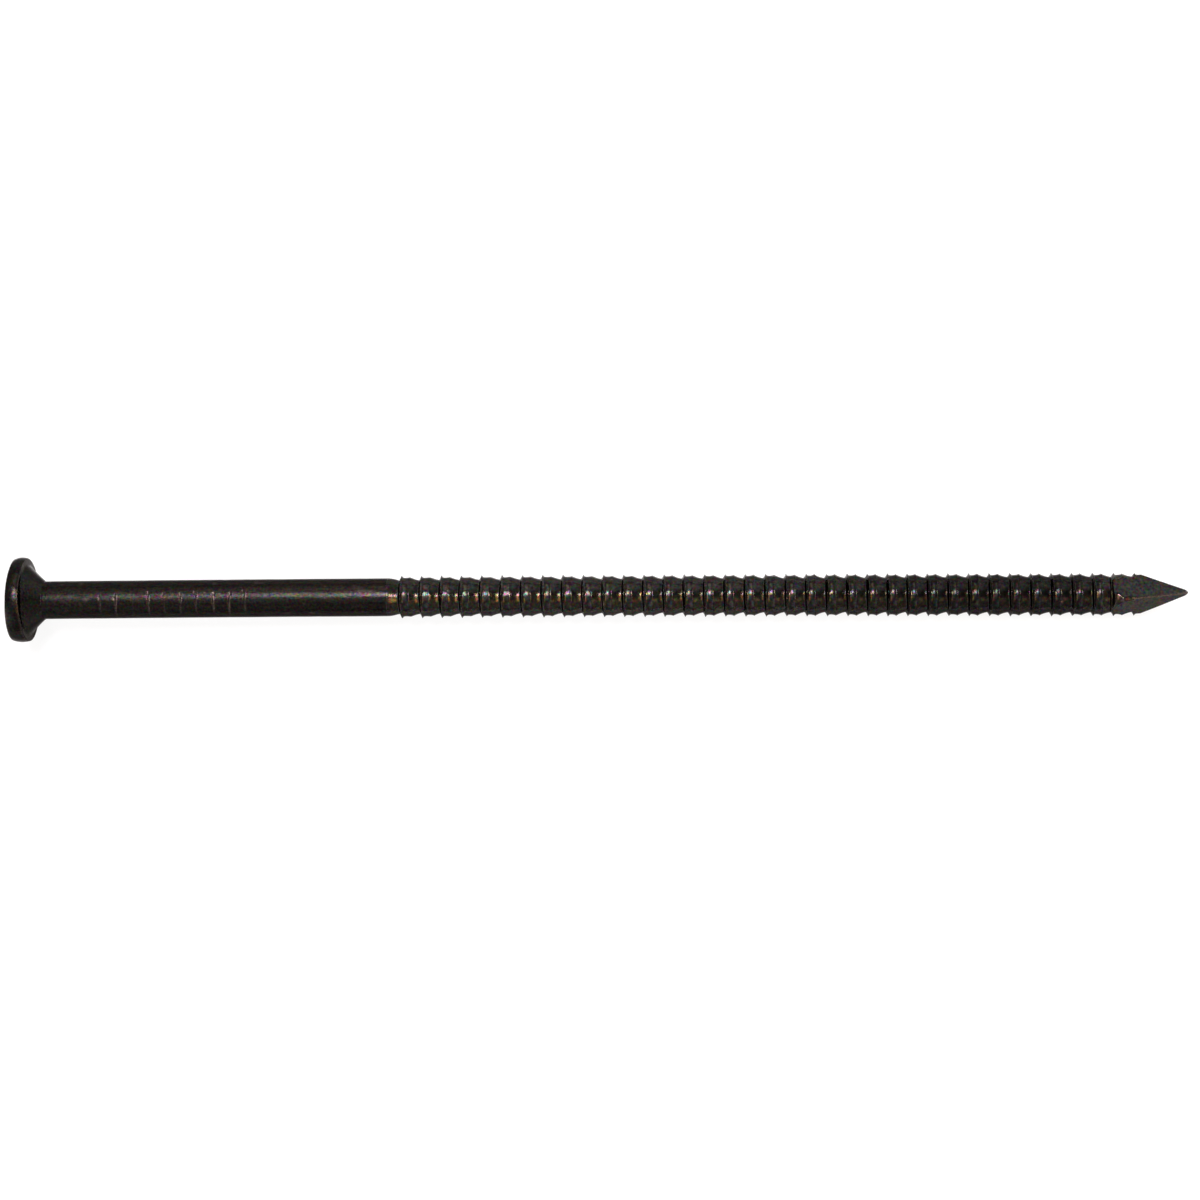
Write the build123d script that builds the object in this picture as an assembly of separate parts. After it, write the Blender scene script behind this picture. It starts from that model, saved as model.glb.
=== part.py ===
from build123d import *

import math
import os

# A ring-shank timber nail, lying along +X, with its head at the low end and its point at the high end.
# The real nail is one piece of hardened steel wire. Its four formed regions are four solids here,
# which meet face to face: the head, the plain shank, the ringed shank and the point.
# The origin is on the axis, in the plane where the head bears on the timber. Sizes are in millimetres.

# Overall
NAIL_LENGTH = 114.3  # from the bearing plane to the tip, 4 1/2 in
SHANK_RADIUS = 1.88  # drawn wire of 0.148 in

# Head and the conical neck under it
HEAD_RADIUS = 4.23
HEAD_THICKNESS = 1.36
STRUCK_DRAFT = 0.14  # how much smaller the struck face is than the rim's widest circle, at half thickness
UNDER_DRAFT = 0.06  # how much smaller the rim is where it turns under the head
UNDER_EDGE_RADIUS = 0.12
NECK_RADIUS = 3.5
NECK_LENGTH = 1.66
NECK_ROOT_FILLET = 0.15
NECK_RUNOUT_FILLET = 0.6
NECK_CYLINDER = 0.6  # the stretch of plain wire that the head's solid keeps beyond the neck

# Gripper marks, which the two halves of the gripping die leave on opposite sides under the head
GRIP_MARK_COUNT = 10
GRIP_FIRST_MARK = 7.5
GRIP_MARK_SPACING = 1.62
GRIP_MARK_DEPTH = 0.06
GRIP_MARK_WIDTH = 0.3
GRIP_MARK_ARC = 75.0  # degrees round the shank
GRIP_SIDE = 100.0  # degrees about +X from +Y to the middle of the first row of marks
GRIP_SIDES = 2

# Rings. Each one has a steep flank towards the head, a sharp crest, a saddle, a lower
# shoulder, and a long taper towards the point. Offsets are from the ring's own crest.
RING_COUNT = 37
RING_PITCH = 1.987
FIRST_CREST = 37.6
RING_CREST_RADIUS = 2.085
RING_SADDLE_RADIUS = 1.91
RING_SHOULDER_RADIUS = 2.0
RING_ROOT_RADIUS = 1.72
VALLEY_START = -0.55
FLANK_FOOT = -0.32
SADDLE = 0.42
SHOULDER = 0.84
RUN_IN_LENGTH = 0.85  # the taper from the plain wire down to the first valley

# Diamond point. Its section is a rhombus, a little wider one way than the other.
POINT_APEX = 114.8  # where the facets would meet, a little past the blunt tip
FACET_SLOPE = 0.245  # each facet's fall towards the axis per millimetre of length
POINT_TURN = 104.0  # degrees about +X from +Y to one of the two blunter edges between facets
FACET_TURN = 38.0  # degrees round from a blunter edge to the middle of the facet beside it
RINGS_ON_POINT = 2  # the last crests, which the facets cut into

plain_start = NECK_LENGTH + NECK_CYLINDER
valley_before_rings = FIRST_CREST + VALLEY_START
plain_end = valley_before_rings - RUN_IN_LENGTH
first_ring_on_point = RING_COUNT - RINGS_ON_POINT
point_start = FIRST_CREST + first_ring_on_point * RING_PITCH + FLANK_FOOT


def head_solid():
    """The flat round head, the conical neck, and the first of the wire."""
    under_radius = HEAD_RADIUS - UNDER_DRAFT
    struck_edge = (-HEAD_THICKNESS, HEAD_RADIUS - STRUCK_DRAFT)
    widest = (-HEAD_THICKNESS / 2, HEAD_RADIUS)
    rim_end = (-UNDER_EDGE_RADIUS, under_radius)
    bearing_edge = (0, under_radius - UNDER_EDGE_RADIUS)
    struck_face = Line((-HEAD_THICKNESS, 0), struck_edge)
    rim = ThreePointArc(struck_edge, widest, rim_end)
    under_edge = RadiusArc(rim_end, bearing_edge, UNDER_EDGE_RADIUS)
    neck = FilletPolyline(
        bearing_edge,
        (0, NECK_RADIUS),
        (NECK_LENGTH, SHANK_RADIUS),
        (plain_start, SHANK_RADIUS),
        (plain_start, 0),
        radius=[NECK_ROOT_FILLET, NECK_RUNOUT_FILLET, 0],
    )
    axis = Line((plain_start, 0), (-HEAD_THICKNESS, 0))
    outline = struck_face + rim + under_edge + neck + axis
    return revolve(make_face(outline), Axis.X)


def grip_mark(station, side_angle):
    """One shallow V-shaped nick across one side of the wire, as a solid to cut away."""
    # it is as wide as stated at the wire's surface, and goes on widening as far above it
    clear = SHANK_RADIUS + GRIP_MARK_DEPTH
    nick = Polyline(
        (station, SHANK_RADIUS - GRIP_MARK_DEPTH),
        (station + GRIP_MARK_WIDTH, clear),
        (station - GRIP_MARK_WIDTH, clear),
        close=True,
    )
    swept = revolve(make_face(nick), Axis.X, revolution_arc=GRIP_MARK_ARC)
    return Rot(X=side_angle - GRIP_MARK_ARC / 2) * swept


def plain_shank_solid():
    """The smooth drawn wire, with a row of gripper marks on each side under the head."""
    length = plain_end - plain_start
    wire = Pos(X=plain_start) * extrude(Plane.YZ * Circle(SHANK_RADIUS), length)
    for side in range(GRIP_SIDES):
        side_angle = GRIP_SIDE + side * 360 / GRIP_SIDES
        for mark in range(GRIP_MARK_COUNT):
            wire -= grip_mark(GRIP_FIRST_MARK + mark * GRIP_MARK_SPACING, side_angle)
    return wire


def ring_outline(crest):
    """One ring's outline, from the foot of its flank to the end of its taper."""
    return [
        (crest + FLANK_FOOT, RING_ROOT_RADIUS),
        (crest, RING_CREST_RADIUS),
        (crest + SADDLE, RING_SADDLE_RADIUS),
        (crest + SHOULDER, RING_SHOULDER_RADIUS),
        (crest + RING_PITCH + VALLEY_START, RING_ROOT_RADIUS),
    ]


def ringed_wire(points):
    """The solid of revolution whose outline is a list of stations and radii."""
    start, end = points[0][0], points[-1][0]
    outline = Polyline((start, 0), *points, (end, 0), close=True)
    return revolve(make_face(outline), Axis.X)


def ringed_shank_solid():
    """The run-in from the plain wire, and all the rings that the point doesn't cut."""
    points = [(plain_end, SHANK_RADIUS), (valley_before_rings, RING_ROOT_RADIUS)]
    for ring in range(first_ring_on_point):
        points += ring_outline(FIRST_CREST + ring * RING_PITCH)
    points.append((point_start, RING_ROOT_RADIUS))
    return ringed_wire(points)


def point_solid():
    """The last rings and the wire beyond them, cut by four facets to a blunt diamond point."""
    points = []
    for ring in range(first_ring_on_point, RING_COUNT):
        points += ring_outline(FIRST_CREST + ring * RING_PITCH)
    points.append((NAIL_LENGTH, RING_ROOT_RADIUS))
    blank = ringed_wire(points)
    facet_angles = [POINT_TURN + half + side * FACET_TURN for half in (0, 180) for side in (-1, 1)]
    for angle in facet_angles:
        turn = math.radians(angle)
        outward = (FACET_SLOPE, math.cos(turn), math.sin(turn))
        facet_plane = Plane(origin=(POINT_APEX, 0, 0), z_dir=outward)
        blank = split(blank, bisect_by=facet_plane, keep=Keep.BOTTOM)
    return blank


nodes = {
    "head": head_solid(),
    "plain_shank": plain_shank_solid(),
    "ringed_shank": ringed_shank_solid(),
    "point": point_solid(),
}

os.makedirs("parts", exist_ok=True)
for name, solid in nodes.items():
    export_step(solid, f"parts/{name}.step")
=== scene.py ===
import math

import bpy
import numpy as np
from mathutils import Matrix, Vector

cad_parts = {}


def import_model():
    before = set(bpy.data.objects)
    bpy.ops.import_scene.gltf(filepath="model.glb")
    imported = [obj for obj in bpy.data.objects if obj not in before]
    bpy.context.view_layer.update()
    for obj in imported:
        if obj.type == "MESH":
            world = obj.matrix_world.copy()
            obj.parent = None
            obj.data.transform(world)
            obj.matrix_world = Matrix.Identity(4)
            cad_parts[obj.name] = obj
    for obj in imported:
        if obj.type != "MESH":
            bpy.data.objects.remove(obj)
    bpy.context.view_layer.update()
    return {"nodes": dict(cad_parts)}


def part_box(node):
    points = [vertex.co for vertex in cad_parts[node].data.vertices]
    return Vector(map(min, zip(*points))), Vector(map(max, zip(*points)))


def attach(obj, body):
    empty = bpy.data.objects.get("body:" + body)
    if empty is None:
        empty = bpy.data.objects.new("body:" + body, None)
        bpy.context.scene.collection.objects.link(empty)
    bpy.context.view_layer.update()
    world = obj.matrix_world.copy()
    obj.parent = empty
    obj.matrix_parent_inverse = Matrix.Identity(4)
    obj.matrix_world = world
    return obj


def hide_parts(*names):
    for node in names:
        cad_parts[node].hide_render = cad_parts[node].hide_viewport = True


# A hardened ring-shank nail lying on a pale table. The nail runs along +X from head to point.
# Four finely meshed pieces replace the four CAD nodes. They keep the nodes' nominal sizes and add a
# real nail's irregular detail: uneven rolled rings, gripper marks, a slightly wedge-shaped head and
# a diamond point. Mesh work is in millimetres, and to_mesh turns it into metres.

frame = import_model()

MM = 0.001
TAU = 2 * math.pi


# ---------------------------------------------------------------- sizes, from the frame

CREST_BAND = 0.002


def box_mm(node):
    """The lowest and highest corners of a CAD node, in millimetres."""
    low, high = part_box(node)
    return low / MM, high / MM


def crest_stations(node):
    """Where along the nail a CAD node's widest circles are, which are its main ring crests."""
    points = np.array([v.co for v in frame["nodes"][node].data.vertices]) / MM
    radii = np.hypot(points[:, 1], points[:, 2])
    on_crest = points[radii > radii.max() - CREST_BAND, 0]
    return np.unique(np.round(on_crest, 3))


head_low, head_high = box_mm("head")
plain_low, plain_high = box_mm("plain_shank")
ringed_low, ringed_high = box_mm("ringed_shank")
point_low, point_high = box_mm("point")

HEAD_TOP = head_low.x
HEAD_RADIUS = head_high.z
SHANK_RADIUS = plain_high.z
CREST_RADIUS = ringed_high.z
TIP = point_high.x
NAIL_MIDDLE = (HEAD_TOP + TIP) / 2

whole_crests = crest_stations("ringed_shank")
PITCH = (whole_crests[-1] - whole_crests[0]) / (len(whole_crests) - 1)
FIRST_CREST = whole_crests[0]
RINGS_ON_POINT = 2
RING_COUNT = len(whole_crests) + RINGS_ON_POINT

# Shape of the whole. BOW is how far the nail leaves a straight line, over the square of the distance
# from its middle.
BOW = 4.6e-5
POINT_TURN = math.radians(104.0)
SEGMENTS = 120
HEAD_SEGMENTS = 180
POINT_SEGMENTS = 240

# Finish: where along the nail it starts and stops changing, and each polishing's share
DRAWN_POLISH = (0, 30, 0.25)
ROLLED_POLISH = (33, 37, 0.75)
OXIDE_THICKENS = (65, 95)
OXIDE_THINS = (103, 108)


# ---------------------------------------------------------------- mesh tools

def smooth(t):
    return t * t * (3 - 2 * t)


def fade(value, start, end):
    """0 up to start, 1 from end on, and a smooth rise between."""
    return smooth(np.clip((value - start) / (end - start), 0, 1))


def ripple(seed, cell, lobes):
    """A smooth random height from -1 to 1 over the nail, with a new value each cell and lobes round it."""
    start = HEAD_TOP - 2 * cell
    rows = int((TIP - start) / cell) + 6
    values = np.random.default_rng(seed).uniform(-1, 1, (rows, lobes))

    def height(station, turn):
        along = (station - start) / cell
        around = np.mod(turn / TAU, 1.0) * lobes
        row = np.floor(along).astype(int)
        column = np.floor(around).astype(int)
        a, b = smooth(along - row), smooth(around - column)
        near, far = column % lobes, (column + 1) % lobes
        low = values[row, near] * (1 - b) + values[row, far] * b
        high = values[row + 1, near] * (1 - b) + values[row + 1, far] * b
        return low * (1 - a) + high * a

    return height


def bump_at(value, centre, width):
    """A bell of height 1 about centre."""
    return np.exp(-(((value - centre) / width) ** 2))


def turn_from(turn, centre):
    """The angle from centre to turn, the short way round."""
    return np.mod(turn - centre + math.pi, TAU) - math.pi


def grid_turns(segments):
    """The angles of a ring of points, one of them on each edge of the point."""
    return POINT_TURN + np.arange(segments) * TAU / segments


def bowed(points):
    """The nail's slight bow, its ends a little towards -Y."""
    out = points.copy()
    out[..., 1] -= BOW * (points[..., 0] - NAIL_MIDDLE) ** 2
    return out


def burnish(stations):
    """How polished the dies left the wire: from 0 at the head to 1 on the rings."""
    polishings = (DRAWN_POLISH, ROLLED_POLISH)
    return sum(share * fade(stations, start, end) for start, end, share in polishings)


def blackened(stations):
    """How much thicker the oxide is: it thickens along the rings and thins again at the point."""
    return fade(stations, *OXIDE_THICKENS) * (1 - fade(stations, *OXIDE_THINS))


def to_mesh(name, points, wear_and_highlight, sharp_angle):
    """A piece from rows of points round the nail, closed at both ends, and its surface's attributes."""
    rows, segments, _ = points.shape
    centres = np.array([points[0].mean(0), points[-1].mean(0)])
    vertices = np.vstack([bowed(points).reshape(-1, 3), bowed(centres)]) * MM
    i, j = np.meshgrid(np.arange(rows - 1), np.arange(segments), indexing="ij")
    here, over = i * segments + j, i * segments + (j + 1) % segments
    quads = np.stack([here, over, over + segments, here + segments], -1).reshape(-1, 4)
    j = np.arange(segments)
    after = (j + 1) % segments
    first, last = rows * segments, rows * segments + 1
    base = (rows - 1) * segments
    start_cap = np.stack([np.full(segments, first), after, j], -1)
    end_cap = np.stack([np.full(segments, last), base + j, base + after], -1)
    mesh = bpy.data.meshes.new(name)
    mesh.from_pydata(vertices.tolist(), [], quads.tolist() + start_cap.tolist() + end_cap.tolist())
    mesh.shade_smooth()
    mesh.set_sharp_from_angle(angle=math.radians(sharp_angle))
    stations = vertices[:, 0] / MM
    # The wear attribute holds real wear and also a painted highlight along the point's top edge.
    finish = {
        "wear_and_highlight": np.append(wear_and_highlight.ravel(), [0.0, 0.0]),
        "polish": burnish(stations),
        "oxide": blackened(stations),
    }
    for label, values in finish.items():
        attribute = mesh.attributes.new(label, "FLOAT", "POINT")
        attribute.data.foreach_set("value", values.astype(np.float32))
    piece = bpy.data.objects.new(name, mesh)
    bpy.context.scene.collection.objects.link(piece)
    return piece


def around(stations, radii, turns):
    """Rows of points at stations, radii and turns, which broadcast together."""
    stations, radii, turns = np.broadcast_arrays(stations, radii, turns)
    return np.stack([stations, radii * np.cos(turns), radii * np.sin(turns)], -1)


# ---------------------------------------------------------------- head

STRUCK_DRAFT = 0.14
STRUCK_ROUND = 0.08
UNDER_DRAFT = 0.06
UNDER_ROUND = 0.12
NECK_RADIUS = 3.5
NECK_END = 1.66
HEAD_SHIFT = 0.07
WEDGE_UNDER = 0.1
WEDGE_STRUCK = 0.08
STRUCK_SLOPE = 0.1
OUT_OF_ROUND = 0.025
RIM_DENTS = 0.008
FACE_DENTS = 0.015
STRUCK_WEAR = 0.5
UNDER_WEAR = 0.2


def arc_points(start, end, bulge, count):
    """Points from start, short of end, on a curve that leaves its chord by bulge of the chord's length."""
    start, end = np.array(start), np.array(end)
    t = np.linspace(0, 1, count, endpoint=False)[:, None]
    chord = end - start
    normal = np.array([-chord[1], chord[0]])
    return start + chord * t + normal * bulge * 4 * t * (1 - t)


def head_outline():
    """The head's outline as stations and radii, from the middle of the struck face to the wire."""
    struck = HEAD_RADIUS - STRUCK_DRAFT
    under = HEAD_RADIUS - UNDER_DRAFT
    corners = [
        (HEAD_TOP, 0.05),
        (HEAD_TOP, struck - STRUCK_ROUND),
        (HEAD_TOP + STRUCK_ROUND, struck + 0.02),
        (-UNDER_ROUND, under),
        (0, under - UNDER_ROUND),
        (0.01, NECK_RADIUS + 0.2),
        (0.2, NECK_RADIUS - 0.18),
        (NECK_END - 0.06, SHANK_RADIUS + 0.06),
        (NECK_END + 0.09, SHANK_RADIUS),
        (plain_low.x, SHANK_RADIUS),
    ]
    bulges = (0, 0.2, 0.08, 0.2, 0, -0.14, -0.02, -0.16, 0)
    counts = (40, 6, 26, 6, 6, 8, 26, 8, 4)
    spans = [arc_points(*span) for span in zip(corners, corners[1:], bulges, counts)]
    return np.vstack([*spans, corners[-1:]])


def head_piece():
    """The flat head, a little thicker on its -Y side, with an uneven rim."""
    outline = head_outline()
    turns = grid_turns(HEAD_SEGMENTS)[None, :]
    stations, radii = outline[:, :1], outline[:, 1:]
    out_of_round = ripple(11, 40.0, 5)(stations, turns)
    dents = ripple(12, 0.6, 26)(stations, turns)
    share = np.clip((radii - SHANK_RADIUS) / (HEAD_RADIUS - SHANK_RADIUS), 0, 1)
    uneven = OUT_OF_ROUND * out_of_round + RIM_DENTS * dents
    radii = radii + share * (uneven + HEAD_SHIFT * np.cos(turns))
    side = -np.cos(turns) * radii / HEAD_RADIUS
    towards_struck = np.clip(-stations / -HEAD_TOP, 0, 1)
    wedge = side * (WEDGE_UNDER * share * (1 - towards_struck) - WEDGE_STRUCK * towards_struck)
    wedge = wedge - STRUCK_SLOPE * towards_struck * np.maximum(side, 0)
    face_dents = ripple(13, 30.0, 9)(radii * 6, turns)
    stations = stations + wedge + FACE_DENTS * face_dents * towards_struck
    points = around(stations, radii, turns)
    under_edge = bump_at(stations, 0.0, 0.1) * bump_at(radii, HEAD_RADIUS - 0.1, 0.12)
    struck_edge = bump_at(stations, HEAD_TOP, 0.1) * bump_at(radii, HEAD_RADIUS - 0.18, 0.14)
    wear_and_highlight = np.clip((STRUCK_WEAR * struck_edge + UNDER_WEAR * under_edge) * (0.6 + 0.6 * dents), 0, 1)
    return to_mesh("nail_head", points, np.broadcast_to(wear_and_highlight, points.shape[:2]), 60)


# ---------------------------------------------------------------- plain shank

GRIP_FIRST = 7.5
GRIP_SPACING = 1.62
GRIP_STRENGTHS = (0.75, 0.8, 0.15, 1.0, 0.35, 0.75, 0.7, 0.85, 0.8, 0.8)
GRIP_DEPTH = 0.04
GRIP_HALF_WIDTH = 0.065
GRIP_LIP = 0.16
GRIP_LIP_HALF_WIDTH = 0.07
GRIP_SIDES = 2
GRIP_SIDE = math.radians(105.0)
GRIP_HALF_ARC = math.radians(33.0)
GRIP_ARC_FADE = 0.05
GRIP_LIP_HEIGHT = 0.45
GRIP_REACH = (-0.36, 0.44)
GRIP_ROWS = 25

# How much one gripper mark may differ from the next
GRIP_JITTER = 0.06
GRIP_SWING = 0.1
GRIP_LEANS = (-0.16, 0.1)
GRIP_ARC_SHARES = (0.7, 1.05)
GRIP_RAGGED = 0.035

# The small pit in each gripper mark
PIT_DEPTH = 0.07
PIT_PLACES = (-0.2, 0.25)
PIT_TURNS = (-0.6, -0.25)
PIT_LENGTH = 0.1
PIT_TURN = 0.08
PIT_WEAR = 0.7

# The wire's rows of points, and its swelling and dings, which fade out over PLAIN_JOIN at both ends
PLAIN_STEP = 0.16
CLOSEST_ROWS = 0.016
PLAIN_JOIN = 1.5
SWELL = 0.004
DING_DEPTH = 0.03
DINGS_ABOVE = 0.72


def plain_stations():
    """Stations along the plain shank, close together across each gripper mark."""
    stations = list(np.arange(plain_low.x, plain_high.x, PLAIN_STEP)) + [plain_high.x]
    for mark in range(len(GRIP_STRENGTHS)):
        centre = GRIP_FIRST + mark * GRIP_SPACING
        stations += list(np.linspace(centre + GRIP_REACH[0], centre + GRIP_REACH[1], GRIP_ROWS))
    stations = np.unique(np.round(stations, 3))
    return stations[np.append(True, np.diff(stations) > CLOSEST_ROWS)]


def grip_marks(stations, turns):
    """How far the gripper marks lower the surface, and how scraped it is there."""
    depth = np.zeros(np.broadcast(stations, turns).shape)
    scrape = np.zeros_like(depth)
    rng = np.random.default_rng(21)
    edge = ripple(22, 0.5, 30)(stations, turns)
    for side in range(GRIP_SIDES):
        for mark, strength in enumerate(GRIP_STRENGTHS):
            centre = GRIP_FIRST + mark * GRIP_SPACING + rng.uniform(-GRIP_JITTER, GRIP_JITTER)
            lean = rng.uniform(*GRIP_LEANS)
            half_arc = GRIP_HALF_ARC * rng.uniform(*GRIP_ARC_SHARES)
            middle = GRIP_SIDE + side * math.pi + rng.uniform(-GRIP_SWING, GRIP_SWING)
            swing = turn_from(turns, middle)
            along = stations - centre - lean * swing - GRIP_RAGGED * edge
            across = 1 / (1 + np.exp((np.abs(swing) - half_arc) / GRIP_ARC_FADE))
            groove = bump_at(along, 0, GRIP_HALF_WIDTH)
            lip = bump_at(along, GRIP_LIP, GRIP_LIP_HALF_WIDTH)
            patchy = np.clip(0.75 + 0.5 * edge, 0.2, 1.2)
            depth += strength * across * patchy * GRIP_DEPTH * (groove - GRIP_LIP_HEIGHT * lip)
            scrape += strength * across * patchy * (0.1 * groove + 0.45 * lip)
            pit = bump_at(along, rng.uniform(*PIT_PLACES), PIT_LENGTH)
            pit = pit * bump_at(swing, rng.uniform(*PIT_TURNS), PIT_TURN)
            depth += strength * PIT_DEPTH * pit
            scrape += strength * PIT_WEAR * pit
    return depth, scrape


def plain_piece():
    """The drawn wire between the neck and the rings."""
    stations, turns = plain_stations()[:, None], grid_turns(SEGMENTS)[None, :]
    depth, scrape = grip_marks(stations, turns)
    ends = fade(stations, plain_low.x, plain_low.x + PLAIN_JOIN)
    ends = ends * (1 - fade(stations, plain_high.x - PLAIN_JOIN, plain_high.x))
    swell = ripple(23, 3.0, 6)(stations, turns)
    dings = np.clip(ripple(24, 0.7, 20)(stations, turns) - DINGS_ABOVE, 0, 1)
    radii = SHANK_RADIUS - depth + ends * (SWELL * swell - DING_DEPTH * dings)
    points = around(stations, radii, turns)
    wear_and_highlight = np.clip(scrape + 0.8 * ends * dings, 0, 1)
    return to_mesh("plain_shank_surface", points, wear_and_highlight, 60)


# ---------------------------------------------------------------- rings

# One ring, by the distance from its crest: before it a valley and a flank, after it a scallop, a
# shoulder and a taper. EARLY is for the rings by the plain shank, LATE for those nearer the point.
VALLEY = -0.55
RING_CUT = -0.32
FLANK_FOOT = -0.25
FLANK_CURVE = 1.1
SPIKE_LENGTH = 0.085
SPIKE_CURVE = 1.6
SCALLOP_RADIUS = 1.908
SCALLOP_BOTTOM = 0.4
SCALLOP_CURVE = 0.13
SHOULDER = 0.8
SHOULDER_EARLY = 1.972
SHOULDER_LATE = 2.015
RISE_EARLY = 5.0
RISE_LATE = 3.0
CUSP = 0.03
CUSP_WIDTH = 0.06
EARLY_ROUNDING = 0.018
TAPER_CURVE = 1.5
ROOT_RADIUS = 1.685
ROOT_RISE = 0.05
RINGED_END = FIRST_CREST + len(whole_crests) * PITCH + RING_CUT

# How uneven the rings are. Spans are distances from the first crest, over which something changes,
# and shifts along the nail fade out over RINGED_JOIN at both ends.
LATE_SPAN = (5, 50)
ROOT_RISE_SPAN = (40, 65)
DRIFT_IN = (5, 19)
DRIFT_OUT = (44, 51)
PITCH_DRIFT = 0.15
RING_WOBBLE = 0.03
RING_LEAN = 0.04
RING_TILT = 0.08
SCALLOP_ROCK = 0.05
CREST_UNEVEN = (0.02, 0.014)
SHOULDER_UNEVEN = (0.022, 0.01)
GRAIN = 0.004
RINGED_JOIN = 3
RUN_IN_ROWS = 10
RUN_IN_CURVE = 1.7
NICK_COUNT = 80
NICK_LENGTH = 0.12
NICK_TURNS = (0.04, 0.12)
NICK_DEPTHS = (0.03, 0.09)
NICK_WEAR = 5


def ring_offsets():
    """The stations of one ring's rows, as offsets from its crest, closest together at the crest."""
    flank = [VALLEY, RING_CUT, FLANK_FOOT, -0.17, -0.09, -0.03]
    crest = [0.0, 0.03, 0.06, 0.1, 0.15, 0.21]
    scallop = [0.31, 0.46, 0.62, 0.73]
    shoulder = [SHOULDER, 0.85, 0.92]
    taper = [1.04, 1.16, 1.28, 1.37]
    return np.array(flank + crest + scallop + shoulder + taper)


def lateness(station):
    """0 at the first rings, 1 at the last ones: the rolled profile changes a little along the nail."""
    return fade(station - FIRST_CREST, *LATE_SPAN)


def even_radius(station, offset):
    """The radius of an even ring, at a distance offset from its crest."""
    late = lateness(station)
    root = ROOT_RADIUS + ROOT_RISE * fade(station - FIRST_CREST, *ROOT_RISE_SPAN)
    shoulder = SHOULDER_EARLY + (SHOULDER_LATE - SHOULDER_EARLY) * late
    climb = np.clip(1 - offset / FLANK_FOOT, 0, 1)
    flank = root + (CREST_RADIUS - root) * climb ** FLANK_CURVE
    past_crest = np.maximum(offset, 0) / SPIKE_LENGTH
    spike = (CREST_RADIUS - SCALLOP_RADIUS) * np.exp(-(past_crest ** SPIKE_CURVE))
    bowl = SCALLOP_RADIUS + SCALLOP_CURVE * (np.minimum(offset, SHOULDER) - SCALLOP_BOTTOM) ** 2
    rim = SCALLOP_RADIUS + SCALLOP_CURVE * (SHOULDER - SCALLOP_BOTTOM) ** 2
    rise_curve = RISE_EARLY + (RISE_LATE - RISE_EARLY) * late
    rise = (shoulder - rim) * np.clip(offset / SHOULDER, 0, 1) ** rise_curve
    taper_length = PITCH + FLANK_FOOT - SHOULDER
    fallen = np.clip((offset - SHOULDER) / taper_length, 0, 1)
    taper = root + (shoulder - root) * (1 - fallen) ** TAPER_CURVE
    cusp = CUSP * late * np.exp(-np.abs(offset - SHOULDER) / CUSP_WIDTH)
    rounding = EARLY_ROUNDING * (1 - late) * bump_at(offset, SHOULDER, 0.1)
    behind = np.where(offset < SHOULDER, bowl + spike + rise, taper) + cusp - rounding
    unfallen = np.clip((FLANK_FOOT - offset) / taper_length, 0, 1)
    valley = root + (shoulder - root) * unfallen ** TAPER_CURVE
    return np.where(offset < FLANK_FOOT, valley, np.where(offset < 0, flank, behind))


def ring_nicks(ring, offset, turns):
    """Small nicks that knock down a crest or a shoulder, spread at random over the rings."""
    rng = np.random.default_rng(31)
    depth = np.zeros(np.broadcast(ring, turns).shape)
    for _ in range(NICK_COUNT):
        which = rng.integers(0, RING_COUNT)
        line = rng.choice([0.0, 0.0, SHOULDER])
        swing = turn_from(turns, rng.uniform(0, TAU))
        size = rng.uniform(*NICK_TURNS)
        deep = rng.uniform(*NICK_DEPTHS)
        bell = bump_at(offset, line, NICK_LENGTH) * bump_at(swing, 0, size)
        depth += deep * (ring == which) * bell
    return depth


def rolled(ring, offset, turns):
    """Stations, radii and wear of the rings: even rings made uneven, as rolling leaves them."""
    station = FIRST_CREST + ring * PITCH + offset
    at_crest = bump_at(offset, 0, 0.1)
    at_shoulder = bump_at(offset, SHOULDER, 0.14)
    wobble = ripple(32, PITCH, 3)(station, turns)
    height = ripple(33, PITCH / 2, 9)(station, turns)
    ragged = ripple(34, 0.3, 44)(station, turns)
    radius = even_radius(station, offset)
    radius = radius + at_crest * (CREST_UNEVEN[0] * height + CREST_UNEVEN[1] * ragged)
    radius = radius + at_shoulder * (SHOULDER_UNEVEN[0] * height + SHOULDER_UNEVEN[1] * ragged)
    radius = radius + GRAIN * ripple(35, 0.8, 20)(station, turns)
    in_scallop = (offset > 0) * (offset < SHOULDER)
    rocking = ripple(36, PITCH, 6)(station, turns)
    radius = radius + in_scallop * SCALLOP_ROCK * (offset - SCALLOP_BOTTOM) * rocking
    nicks = ring_nicks(ring, offset, turns)
    radius = np.maximum(radius - nicks, ROOT_RADIUS - 0.02)
    drift = PITCH_DRIFT * fade(station - FIRST_CREST, *DRIFT_IN)
    drift = drift * (1 - fade(station - FIRST_CREST, *DRIFT_OUT))
    tilt = RING_TILT * np.sin(turns) - RING_LEAN * np.cos(turns)
    ends = np.clip((station - plain_high.x) / RINGED_JOIN, 0, 1)
    ends = ends * np.clip((RINGED_END - station) / RINGED_JOIN, 0, 1)
    station = station + ends * (RING_WOBBLE * wobble + drift + tilt)
    station = station - 0.02 * at_crest * (1 + ragged)
    wear_and_highlight = np.clip(at_crest * (0.04 + 0.12 * height) + NICK_WEAR * nicks, 0, 1)
    return station, radius, wear_and_highlight


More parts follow.
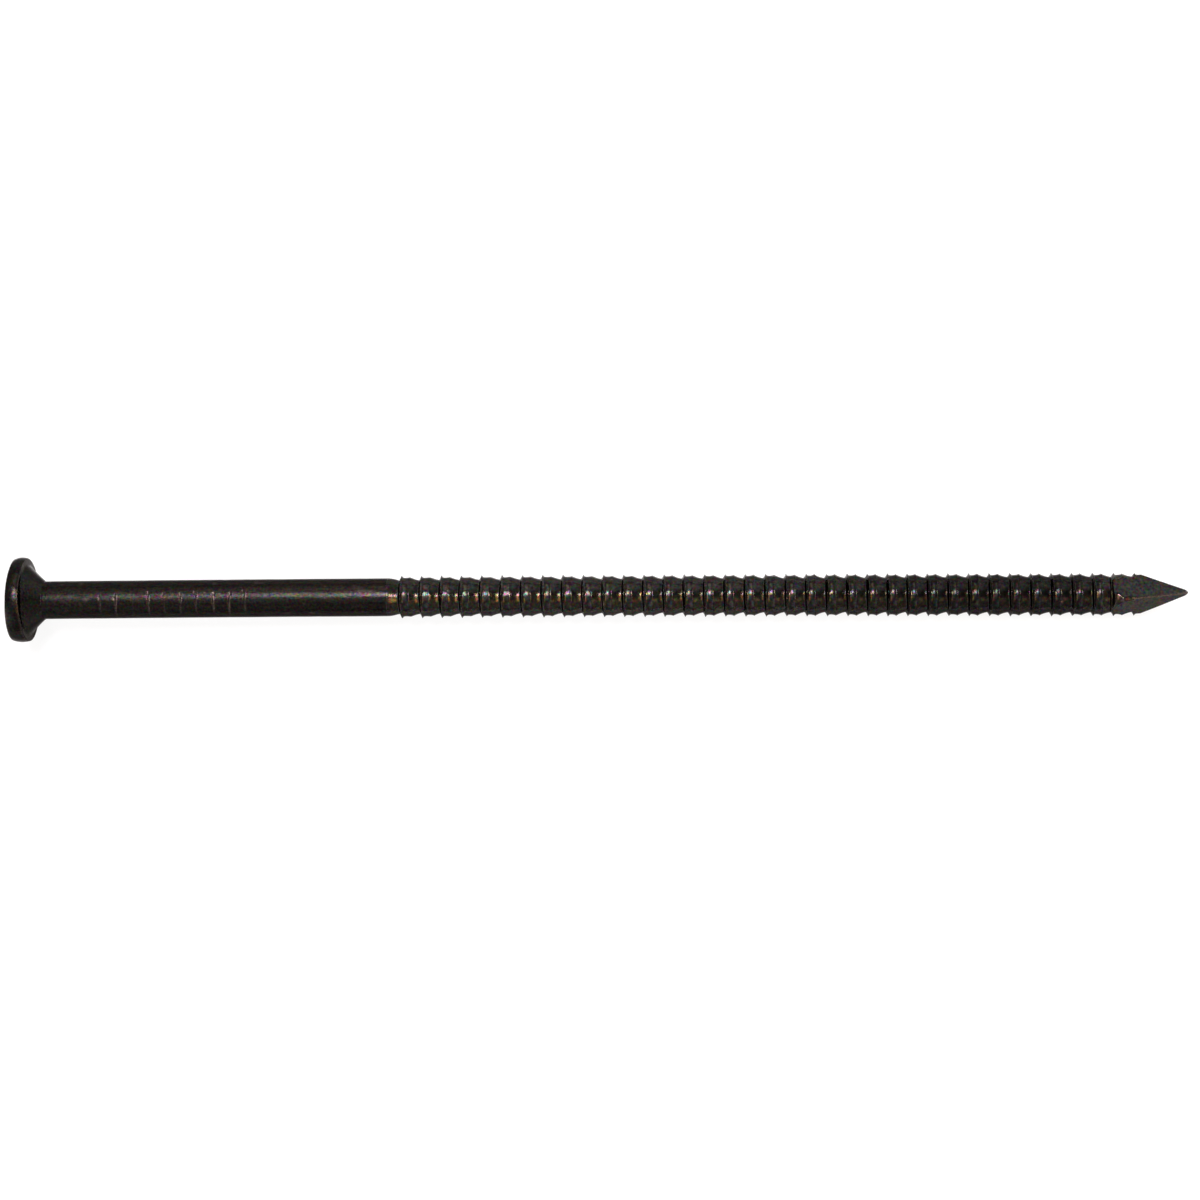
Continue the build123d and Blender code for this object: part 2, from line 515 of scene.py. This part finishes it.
def ringed_piece():
    """The run-in from the plain wire, and all the rings that the point doesn't cut."""
    turns = grid_turns(SEGMENTS)[None, :]
    offsets = ring_offsets()
    rings = np.repeat(np.arange(len(whole_crests)), len(offsets))[:, None]
    offset = np.tile(offsets, len(whole_crests))[:, None]
    rings = np.vstack([rings, [[len(whole_crests)], [len(whole_crests)]]])
    offset = np.vstack([offset, [[VALLEY], [RING_CUT]]])
    station, radius, wear_and_highlight = rolled(rings, offset, turns)
    first_valley = FIRST_CREST + VALLEY
    run_in = np.linspace(plain_high.x, first_valley, RUN_IN_ROWS, endpoint=False)[:, None]
    v = (run_in - plain_high.x) / (first_valley - plain_high.x)
    run_end = even_radius(first_valley, VALLEY)
    run_radius = SHANK_RADIUS - (SHANK_RADIUS - run_end) * v ** RUN_IN_CURVE
    run_in = np.broadcast_to(run_in, (len(run_in), SEGMENTS))
    points = np.concatenate([around(run_in, run_radius, turns), around(station, radius, turns)])
    wear_and_highlight = np.concatenate([np.zeros((len(run_in), SEGMENTS)), np.broadcast_to(wear_and_highlight, station.shape)])
    return to_mesh("ringed_shank_surface", points, wear_and_highlight, 120)


# ---------------------------------------------------------------- point

POINT_APEX = TIP + 0.5
FACET_SLOPE = 0.245
FACET_TURN = math.radians(38.0)
EDGE_SHARPNESS = 22.0
TIP_RADIUS = 0.36
TIP_ROWS = 12
POINT_ROWS = 60
FACET_UNEVEN = 0.008
BURR_LENGTH = 0.35
BURR_WEAR = 0.5
# A painted highlight along the point's top edge only: the width and lightness of a lighter strip where the
# light catches that edge.
RIDGE_HIGHLIGHT_WIDTH = 0.09
RIDGE_HIGHLIGHT = 0.7
TIP_LEAN = 0.19
TIP_LEAN_CURVE = 1.5


def facet_radius(stations, turns):
    """The radius of the four-sided point, with slightly rounded edges."""
    half = np.maximum(POINT_APEX - stations, 0.0) * FACET_SLOPE
    total = 0
    for facet in (FACET_TURN, -FACET_TURN, math.pi + FACET_TURN, math.pi - FACET_TURN):
        total = total + np.maximum(np.cos(turns - POINT_TURN - facet), 0) ** EDGE_SHARPNESS
    return half * total ** (-1 / EDGE_SHARPNESS)


def point_piece():
    """The last two rings, cut by the four facets, and the slightly blunt tip, with a painted highlight
    along its top edge.
    """
    turns = grid_turns(POINT_SEGMENTS)[None, :]
    offsets = ring_offsets()
    rings = np.repeat(np.arange(len(whole_crests), RING_COUNT), len(offsets))[:, None]
    offset = np.tile(offsets, RINGS_ON_POINT)[:, None]
    kept = np.arange(np.argmax(offsets >= RING_CUT), len(offset))
    station, radius, wear_and_highlight = rolled(rings[kept], offset[kept], turns)
    last = FIRST_CREST + RING_COUNT * PITCH + VALLEY
    beyond = np.linspace(last, TIP - TIP_RADIUS, POINT_ROWS, endpoint=False)
    cap = TIP - TIP_RADIUS + TIP_RADIUS * np.sin(np.linspace(0, math.pi / 2 * 0.97, TIP_ROWS))
    beyond = np.concatenate([beyond, cap])[:, None]
    station = np.vstack([station, np.broadcast_to(beyond, (len(beyond), POINT_SEGMENTS))])
    radius = np.vstack([radius, np.full((len(beyond), POINT_SEGMENTS), CREST_RADIUS)])
    wear_and_highlight = np.vstack([wear_and_highlight, np.zeros((len(beyond), POINT_SEGMENTS))])
    uneven = 1 + FACET_UNEVEN * ripple(41, 1.2, 16)(station, turns)
    facets = facet_radius(station, turns) * uneven
    cut = radius > facets
    radius = np.minimum(radius, facets)
    into_tip = np.maximum(station - TIP + TIP_RADIUS, 0) / TIP_RADIUS
    blunt = np.sqrt(np.maximum(1 - into_tip ** 2, 0.0))
    radius = radius * np.maximum(blunt, 0.05)
    burr = BURR_WEAR * bump_at(station, TIP, BURR_LENGTH)
    # Painted highlight: a lighter strip along the one top edge of the point, where the light catches it,
    # carried with the wear.
    ridge_highlight = RIDGE_HIGHLIGHT * bump_at(turn_from(turns, POINT_TURN) * radius, 0, RIDGE_HIGHLIGHT_WIDTH)
    wear_and_highlight = np.where(cut, np.maximum(burr, ridge_highlight), wear_and_highlight)
    points = around(station, radius, turns)
    lean = np.clip((station - RINGED_END) / (TIP - RINGED_END), 0, 1) ** TIP_LEAN_CURVE
    points[..., 1] += TIP_LEAN * lean
    return to_mesh("diamond_point", points, wear_and_highlight, 30)


# ---------------------------------------------------------------- materials

def node(tree, kind, **values):
    """A new shader node, with its settings or the values of its input sockets."""
    made = tree.nodes.new(kind)
    for key, value in values.items():
        if key in made.inputs:
            made.inputs[key].default_value = value
        else:
            setattr(made, key, value)
    return made


def noise(tree, vector, scale, detail=4.0, rough=0.55):
    made = node(tree, "ShaderNodeTexNoise", Scale=scale, Detail=detail, Roughness=rough)
    tree.links.new(vector, made.inputs["Vector"])
    return made.outputs["Fac"]


def ramp(tree, value, stops):
    made = node(tree, "ShaderNodeValToRGB")
    elements = made.color_ramp.elements
    while len(elements) < len(stops):
        elements.new(0.5)
    for element, (place, colour) in zip(elements, stops):
        element.position = place
        element.color = (*colour, 1.0)
    tree.links.new(value, made.inputs["Fac"])
    return made.outputs["Color"]


def mix(tree, share, a, b):
    made = node(tree, "ShaderNodeMix", data_type="RGBA")
    tree.links.new(share, made.inputs[0])
    tree.links.new(a, made.inputs[6])
    tree.links.new(b, made.inputs[7])
    return made.outputs[2]


def grey(level):
    return (level, level, level)


def scaled_place(tree, scale):
    """Object coordinates in millimetres, stretched by scale along each axis."""
    place = node(tree, "ShaderNodeTexCoord").outputs["Object"]
    mapping = node(tree, "ShaderNodeMapping")
    mapping.inputs["Scale"].default_value = tuple(1000 * axis for axis in scale)
    tree.links.new(place, mapping.inputs["Vector"])
    return mapping.outputs["Vector"]


POLISH = 0.15
WEAR_ROUGHNESS = 0.2
TEMPER_PLACES = (0.34, 0.5, 0.66)
MOTTLE_TONES = ((0.0115, 0.0108, 0.0102), (0.031, 0.0285, 0.0268))
# Scraped steel, whose lighter colour also paints the highlight along the point's top edge.
SCRAPED_AND_HIGHLIGHT_TONES = ((0.06, 0.044, 0.042), (0.15, 0.118, 0.112))
THICK_OXIDE_TINT = (0.58, 0.58, 0.6, 1)


def shade(colour, level):
    return tuple(level * channel for channel in colour)


def oxide_steel(name, tones, level, along, roughness, relief):
    """Hardened wire under a thin dark oxide. Its grain is stretched along the wire where along is small."""
    material = bpy.data.materials.new(name)
    material.use_nodes = True
    tree = material.node_tree
    shader = tree.nodes["Principled BSDF"]
    drawn = scaled_place(tree, (along, 1, 1))
    even = scaled_place(tree, (1, 1, 1))
    stops = [(place, shade(tone, level)) for place, tone in zip(TEMPER_PLACES, tones)]
    temper = ramp(tree, noise(tree, even, 0.6, 3.0), stops)
    mottle = ramp(
        tree,
        noise(tree, drawn, 3.0, 4.0),
        [(place, shade(tone, level)) for place, tone in zip((0.3, 0.7), MOTTLE_TONES)],
    )
    plain = mix(tree, noise(tree, drawn, 1.3, 2.0), temper, mottle)
    speckle = node(tree, "ShaderNodeTexNoise", Scale=4.5, Detail=2.0)
    tree.links.new(even, speckle.inputs["Vector"])
    vivid = node(tree, "ShaderNodeBrightContrast", Contrast=0.9)
    tree.links.new(speckle.outputs["Color"], vivid.inputs["Color"])
    tinted = node(tree, "ShaderNodeMix", data_type="RGBA", blend_type="OVERLAY")
    tinted.inputs[0].default_value = 1.0
    tree.links.new(plain, tinted.inputs[6])
    tree.links.new(vivid.outputs["Color"], tinted.inputs[7])
    darker = node(tree, "ShaderNodeMix", data_type="RGBA", blend_type="MULTIPLY")
    oxide = node(tree, "ShaderNodeAttribute", attribute_name="oxide")
    tree.links.new(oxide.outputs["Fac"], darker.inputs[0])
    tree.links.new(tinted.outputs[2], darker.inputs[6])
    darker.inputs[7].default_value = THICK_OXIDE_TINT
    base = darker.outputs[2]
    scraped_and_highlight = ramp(
        tree,
        noise(tree, even, 5.0, 3.0),
        list(zip((0.35, 0.65), SCRAPED_AND_HIGHLIGHT_TONES)),
    )
    # The wear attribute lightens and roughens the steel: real wear on edges, gripper marks and nicks, and a
    # painted highlight along the point's top edge.
    wear_and_highlight = node(tree, "ShaderNodeAttribute", attribute_name="wear_and_highlight")
    tree.links.new(mix(tree, wear_and_highlight.outputs["Fac"], base, scraped_and_highlight), shader.inputs["Base Color"])
    rough = ramp(
        tree,
        noise(tree, drawn, 4.0, 4.0),
        [(0.3, grey(roughness - 0.04)), (0.7, grey(roughness + 0.05))],
    )
    polish = node(tree, "ShaderNodeAttribute", attribute_name="polish")
    smoothed = node(tree, "ShaderNodeMath", operation="MULTIPLY_ADD")
    tree.links.new(polish.outputs["Fac"], smoothed.inputs[0])
    smoothed.inputs[1].default_value = -POLISH
    tree.links.new(rough, smoothed.inputs[2])
    roughened = node(tree, "ShaderNodeMath", operation="MULTIPLY_ADD")
    tree.links.new(wear_and_highlight.outputs["Fac"], roughened.inputs[0])
    roughened.inputs[1].default_value = WEAR_ROUGHNESS
    tree.links.new(smoothed.outputs[0], roughened.inputs[2])
    tree.links.new(roughened.outputs[0], shader.inputs["Roughness"])
    shader.inputs["Metallic"].default_value = 1.0
    shader.inputs["Specular Tint"].default_value = (0.5, 0.5, 0.5, 1)
    bump = node(tree, "ShaderNodeBump", Strength=1.0, Distance=relief * MM)
    tree.links.new(noise(tree, drawn, 5.0, 3.0, 0.6), bump.inputs["Height"])
    tree.links.new(bump.outputs["Normal"], shader.inputs["Normal"])
    return material


def pale_table():
    """A smooth, pale table top, which glows to the camera so that it is near white, with faint shadows."""
    material = bpy.data.materials.new("pale_table")
    material.use_nodes = True
    tree = material.node_tree
    shader = tree.nodes["Principled BSDF"]
    shader.inputs["Base Color"].default_value = (0.7, 0.7, 0.7, 1)
    shader.inputs["Roughness"].default_value = 0.35
    glow = node(tree, "ShaderNodeEmission", Strength=TABLE_GLOW)
    share = node(tree, "ShaderNodeMath", operation="MULTIPLY")
    tree.links.new(node(tree, "ShaderNodeLightPath").outputs["Is Camera Ray"], share.inputs[0])
    share.inputs[1].default_value = TABLE_GLOW_SHARE
    both = node(tree, "ShaderNodeMixShader")
    tree.links.new(share.outputs[0], both.inputs[0])
    tree.links.new(shader.outputs[0], both.inputs[1])
    tree.links.new(glow.outputs[0], both.inputs[2])
    tree.links.new(both.outputs[0], tree.nodes["Material Output"].inputs["Surface"])
    return material


# ---------------------------------------------------------------- table, lights and camera

TABLE_SIZE = 6.0
TABLE_GLOW = 1.08
TABLE_GLOW_SHARE = 0.8
TABLE_GAP = 0.03


def table_top():
    """The table, just under the head's rim and the last ring, so it slopes a little along the nail."""
    head_contact = Vector((HEAD_TOP / 3, 0, -HEAD_RADIUS)) * MM
    ring_contact = Vector((RINGED_END, 0, -CREST_RADIUS)) * MM
    slope = math.atan2(ring_contact.z - head_contact.z, ring_contact.x - head_contact.x)
    half = TABLE_SIZE / 2
    mesh = bpy.data.meshes.new("table_top")
    corners = [(-half, -half, 0), (half, -half, 0), (half, half, 0), (-half, half, 0)]
    mesh.from_pydata(corners, [], [(0, 1, 2, 3)])
    table = bpy.data.objects.new("table_top", mesh)
    bpy.context.scene.collection.objects.link(table)
    table.rotation_euler = (0, -slope, 0)
    table.location = head_contact - Vector((0, 0, TABLE_GAP)) * MM
    table.data.materials.append(pale_table())


def area_light(name, place, size, power, colour, aim=NAIL_MIDDLE, spread=180.0):
    """A rectangular light at a place in mm, facing a station of the nail, its second side towards Y."""
    data = bpy.data.lights.new(name, "AREA")
    data.shape = "RECTANGLE"
    data.size, data.size_y = size[0] * MM, size[1] * MM
    data.energy = power
    data.color = colour
    data.spread = math.radians(spread)
    light = bpy.data.objects.new(name, data)
    bpy.context.scene.collection.objects.link(light)
    place = Vector(place) * MM
    light.location = place
    away = (place - Vector((aim * MM, 0, 0))).normalized()
    across = Vector((0, 1, 0)).cross(away).normalized()
    light.rotation_mode = "QUATERNION"
    light.rotation_quaternion = Matrix((across, away.cross(across), away)).transposed().to_quaternion()
    light.visible_camera = False
    return light


def lights():
    """A near-white key lamp, a soft window and its fill on the +Y side, and warm lights in the metal.

    The fill leaves no reflection, and the warm lights show only as reflections.
    """
    area_light("key", (-15, 124, 400), (90, 116), 1.6, (1.0, 0.95, 1.0))
    area_light("window", (-20, 330, 215), (100, 250), 0.2, (1.0, 0.88, 0.78))
    fill = area_light("window_fill", (120, 280, 260), (200, 160), 0.2, (1.0, 0.98, 0.96), 100, 42)
    fill.visible_glossy = False
    in_metal = [
        area_light("warm_lamp", (165, 85, 470), (60, 80), 0.24, (1.0, 0.84, 0.6), 35, 70),
        area_light("warm_panel", (170, -145, 470), (80, 320), 0.12, (1.0, 0.58, 0.16), 35, 60),
        area_light("dim_warm_panel", (500, -250, 400), (190, 190), 0.28, (1.0, 0.66, 0.28)),
    ]
    for panel in in_metal:
        panel.visible_diffuse = False


def towards(tree, direction, heading):
    """How far the world's direction points along a heading, from 0 (away) to 1 (right along it)."""
    dot = node(tree, "ShaderNodeVectorMath", operation="DOT_PRODUCT")
    tree.links.new(direction, dot.inputs[0])
    dot.inputs[1].default_value = Vector(heading).normalized()
    share = node(tree, "ShaderNodeMath", operation="MULTIPLY_ADD")
    tree.links.new(dot.outputs["Value"], share.inputs[0])
    share.inputs[1].default_value = 0.5
    share.inputs[2].default_value = 0.5
    return share.outputs[0]


# The room's light: where each patch is centred, and its brightness by how near a direction is to it
ROOM = [
    ((-0.8, 0, 0.6), [(0.2, grey(0.1)), (0.5, grey(0.14)), (0.75, grey(0.28)), (1.0, grey(0.48))]),
    ((-0.4, 0.75, 0.5), [(0.81, grey(0.0)), (0.9, (0.5, 0.42, 0.35)), (1.0, (0.7, 0.62, 0.54))]),
    ((-0.08, -0.14, 1), [(0.955, grey(0.0)), (0.985, (0.85, 0.79, 0.82)), (1.0, (1.4, 1.3, 1.35))]),
    ((1.0, 0.0, 0.25), [(0.88, grey(0.0)), (0.96, (0.45, 0.39, 0.35)), (1.0, (0.7, 0.61, 0.55))]),
    ((-0.64, -0.64, 0.42), [(0.9, grey(0.0)), (0.96, grey(0.9)), (1.0, grey(1.8))]),
    ((0.68, 0.68, 0.26), [(0.9, grey(0.0)), (0.96, grey(0.9)), (1.0, grey(1.8))]),
    ((0.52, -0.78, 0.36), [(0.8, grey(0.0)), (0.91, (0.4, 0.34, 0.26)), (0.98, (0.8, 0.67, 0.52))]),
]


def world():
    """A dim room, lighter at several places round the nail, and pale where the camera sees it."""
    made = bpy.data.worlds.new("room")
    bpy.context.scene.world = made
    made.use_nodes = True
    tree = made.node_tree
    background = tree.nodes["Background"]
    direction = node(tree, "ShaderNodeTexCoord").outputs["Generated"]
    patches = [ramp(tree, towards(tree, direction, heading), stops) for heading, stops in ROOM]
    total = patches[0]
    for patch in patches[1:]:
        both = node(tree, "ShaderNodeMix", data_type="RGBA", blend_type="ADD")
        both.inputs[0].default_value = 1.0
        tree.links.new(total, both.inputs[6])
        tree.links.new(patch, both.inputs[7])
        total = both.outputs[2]
    backdrop = node(tree, "ShaderNodeMix", data_type="RGBA")
    tree.links.new(node(tree, "ShaderNodeLightPath").outputs["Is Camera Ray"], backdrop.inputs[0])
    tree.links.new(total, backdrop.inputs[6])
    backdrop.inputs[7].default_value = (0.9, 0.9, 0.9, 1)
    tree.links.new(backdrop.outputs[2], background.inputs["Color"])


CAMERA_AIM = Vector((57.2, -0.4, 0.0))
CAMERA_DISTANCE = 297.95
CAMERA_YAW = math.radians(4.7)
CAMERA_ROLL = math.radians(0.29)
CAMERA_LENS = 90.93


def camera():
    """A camera looking down at the nail from a little towards the point."""
    data = bpy.data.cameras.new("camera")
    data.lens = CAMERA_LENS
    data.sensor_width = 36.0
    data.clip_start = 0.01
    data.clip_end = 20.0
    made = bpy.data.objects.new("camera", data)
    bpy.context.scene.collection.objects.link(made)
    back = Vector((math.sin(CAMERA_YAW), 0, math.cos(CAMERA_YAW)))
    right = Vector((math.cos(CAMERA_YAW), 0, -math.sin(CAMERA_YAW)))
    up = Vector((0, 1, 0))
    c, s = math.cos(CAMERA_ROLL), math.sin(CAMERA_ROLL)
    rolled_right, rolled_up = right * c - up * s, up * c + right * s
    rotation = Matrix((rolled_right, rolled_up, back)).transposed()
    place = (CAMERA_AIM + back * CAMERA_DISTANCE) * MM
    made.matrix_world = Matrix.Translation(place) @ rotation.to_4x4()
    bpy.context.scene.camera = made


# ---------------------------------------------------------------- putting it together

WARM_TONES = [(0.0235, 0.019, 0.0188), (0.0218, 0.0195, 0.0175), (0.025, 0.0195, 0.016)]
NEUTRAL_TONES = [(0.0208, 0.0195, 0.0192), (0.0205, 0.0198, 0.0178), (0.0225, 0.0198, 0.0172)]
drawn = oxide_steel("drawn_oxide_steel", WARM_TONES, 0.54, 0.3, 0.34, 0.014)
rolled_steel = oxide_steel("rolled_oxide_steel", NEUTRAL_TONES, 1.1, 0.8, 0.35, 0.008)
forged_head = oxide_steel("forged_head_steel", NEUTRAL_TONES, 0.58, 1.0, 0.24, 0.012)
cut_point = oxide_steel("cut_point_steel", NEUTRAL_TONES, 1.4, 1.0, 0.34, 0.01)
pieces = [
    (head_piece(), "head", forged_head),
    (plain_piece(), "plain_shank", drawn),
    (ringed_piece(), "ringed_shank", rolled_steel),
    (point_piece(), "point", cut_point),
]
for piece, cad_node, material in pieces:
    piece.data.materials.append(material)
    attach(piece, "root")
    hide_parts(cad_node)

table_top()
lights()
world()
camera()
bpy.context.scene.view_settings.view_transform = "Standard"
